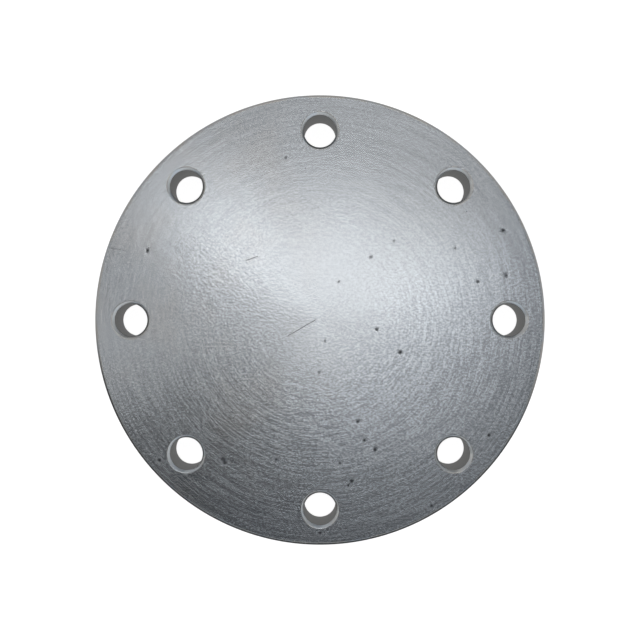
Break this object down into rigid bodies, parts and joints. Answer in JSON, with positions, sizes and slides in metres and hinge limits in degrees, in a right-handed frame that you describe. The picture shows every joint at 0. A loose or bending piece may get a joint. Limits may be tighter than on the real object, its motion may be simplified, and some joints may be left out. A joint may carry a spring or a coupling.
{
  "type": "blind flange",
  "caption": "Solid round steel blind flange, turned flat on both faces, with a ring of plain bolt holes near the rim for closing off a pipe end.",
  "frame": {"origin": "centre of the back face, on the flange's axis", "axes": "+Z along the flange's axis, out of the front face; a bolt hole centre lies on +X and another on +Y"},
  "size_m": [0.25, 0.25, 0.022],
  "materials": {
    "turned_steel": "cool grey satin steel with concentric turning marks, fine grain and small dark pits"
  },
  "bodies": {
    "root": {"flange_plate": "turned_steel"}
  },
  "joints": []
}
